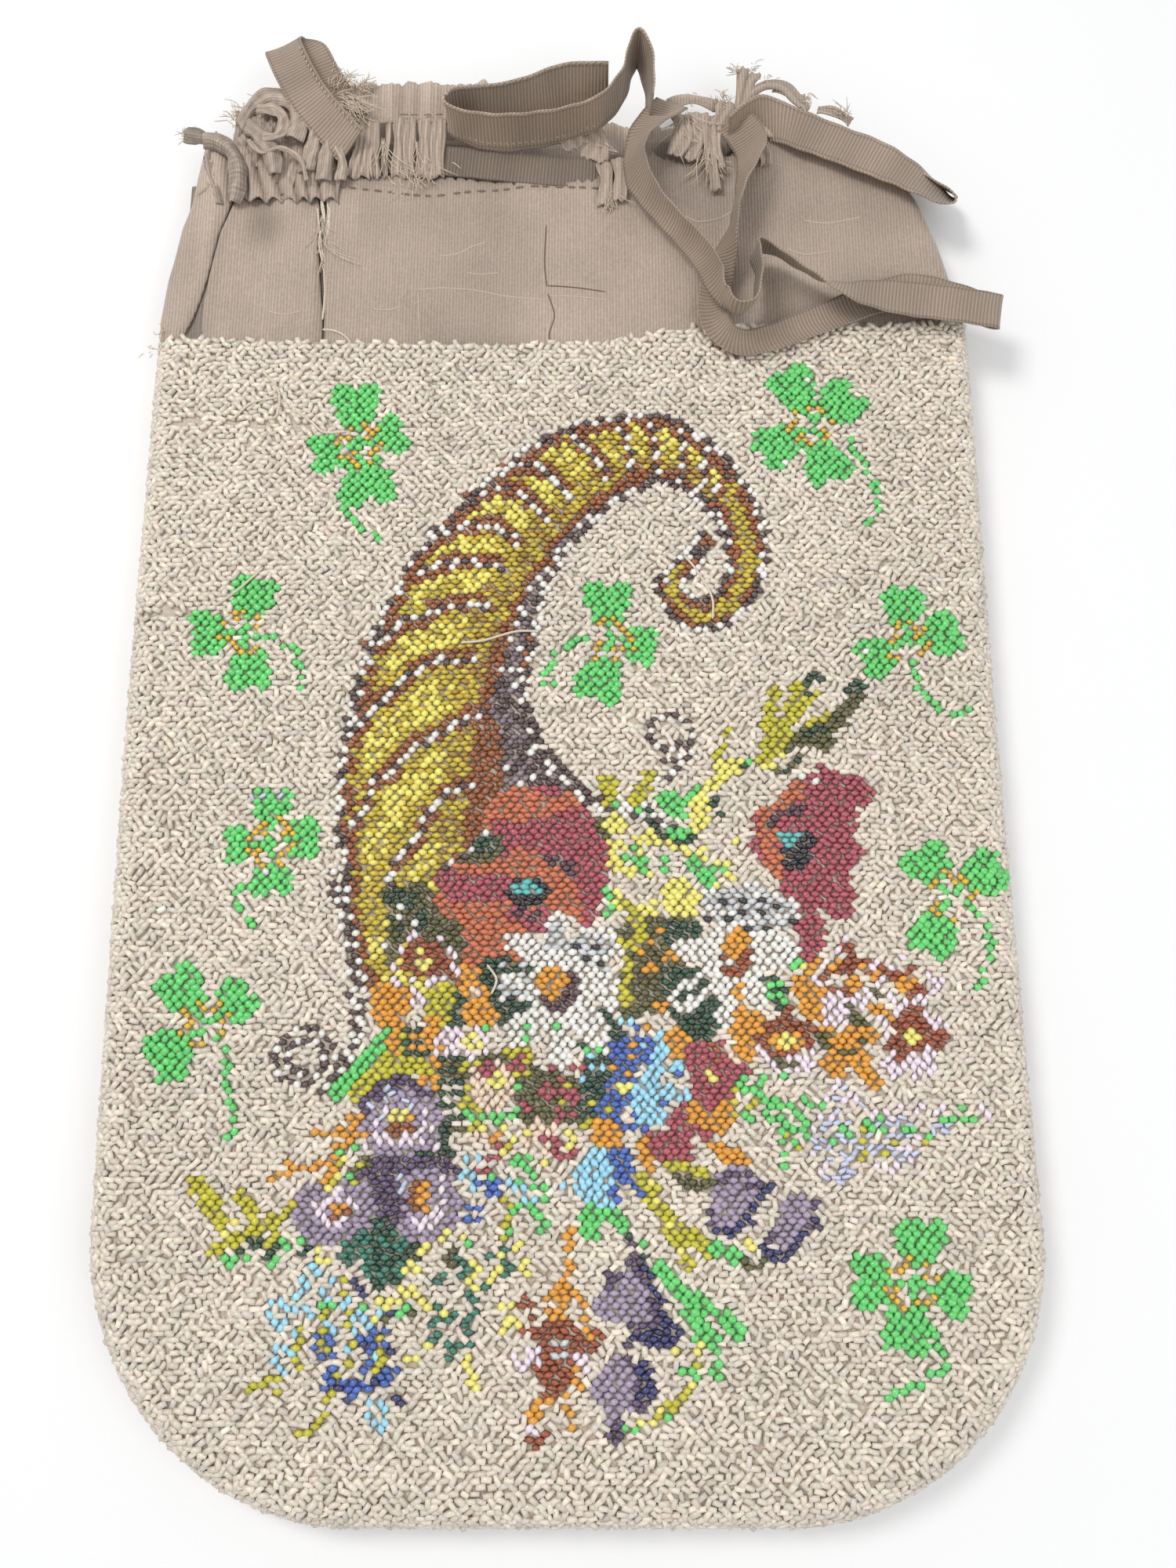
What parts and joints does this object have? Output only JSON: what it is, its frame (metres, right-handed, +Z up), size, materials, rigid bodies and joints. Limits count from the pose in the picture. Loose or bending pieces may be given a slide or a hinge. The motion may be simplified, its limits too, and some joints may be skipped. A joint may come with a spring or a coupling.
{
  "type": "beaded purse",
  "caption": "Flat drawstring purse of knitted silk covered in glass beads, with a horn of flowers and clovers, a torn silk collar and loose ribbon loops.",
  "frame": {"origin": "on the floor, at the middle of the back face of the beaded body", "axes": "+Y from the bottom of the bag to its mouth, +X to the right of its pictured front, +Z up out of the pictured front"},
  "size_m": [0.1957, 0.3309, 0.024],
  "materials": {
    "ground_beads": "clear and silvery taupe cut beads, glossy",
    "knit_silk": "knitted silk thread",
    "silk": "ribbed taupe silk, dull sheen",
    "ribbon": "brown grosgrain ribbon",
    "green_beads": "round green beads, glossy",
    "gold_beads": "golden yellow beads, glossy",
    "rust_beads": "rust brown beads",
    "umber_beads": "near black brown beads",
    "orange_beads": "burnt orange beads",
    "rose_beads": "dark rose beads",
    "black_beads": "black beads",
    "white_beads": "white and grey beads",
    "amber_beads": "amber beads",
    "lilac_beads": "greyed lilac beads",
    "sky_beads": "sky blue beads",
    "blue_beads": "royal blue beads",
    "olive_beads": "olive yellow beads",
    "lemon_beads": "pale yellow beads",
    "peach_beads": "peach beads"
  },
  "bodies": {
    "root": {"ground_beads_front": "ground_beads", "ground_beads_back": "ground_beads", "edge_beads": "ground_beads", "knit_bag": "knit_silk", "silk_lining": "silk", "silk_collar": "silk", "heading_frill_front": "silk", "heading_frill_back": "silk", "casing_strip_1": "silk", "casing_strip_2": "silk", "casing_strip_3": "silk", "ribbon_in_casing": "ribbon", "ribbon_left_loop": "ribbon", "ribbon_middle_loop": "ribbon", "ribbon_long_loop": "ribbon", "ribbon_right_loop": "ribbon", "clover_upper_left": "green_beads", "clover_upper_right": "green_beads", "clover_left": "green_beads", "clover_middle": "green_beads", "clover_right": "green_beads", "clover_lower_left": "green_beads", "clover_lower_right": "green_beads", "clover_bottom_left": "green_beads", "clover_bottom_right": "green_beads", "horn_gold": "gold_beads", "horn_ribs": "rust_beads", "horn_outline": "umber_beads", "poppy_left": "orange_beads", "poppy_left_eye": "black_beads", "poppy_right": "rose_beads", "poppy_right_eye": "black_beads", "daisy_left": "white_beads", "daisy_left_eye": "amber_beads", "daisy_right": "white_beads", "daisy_right_eye": "amber_beads", "rose_blossom": "rose_beads", "cornflower_upper": "sky_beads", "cornflower_lower": "blue_beads", "aster_top": "lilac_beads", "aster_left": "lilac_beads", "aster_right": "lilac_beads", "blossom_left": "rust_beads", "blossom_middle": "rust_beads", "blossom_right": "rust_beads", "blossom_high": "rust_beads", "peach_blossom": "peach_beads", "violet_upper": "lilac_beads", "violet_right": "lilac_beads", "violet_middle": "lilac_beads", "violet_low": "lilac_beads", "leaf_spray_right": "green_beads", "leaf_spray_low": "green_beads", "olive_sprig_left": "olive_beads", "olive_leaf": "olive_beads", "lemon_spray": "lemon_beads", "lemon_spray_low": "lemon_beads", "blue_sprig": "sky_beads", "stalk_flower": "rust_beads"}
  },
  "joints": []
}
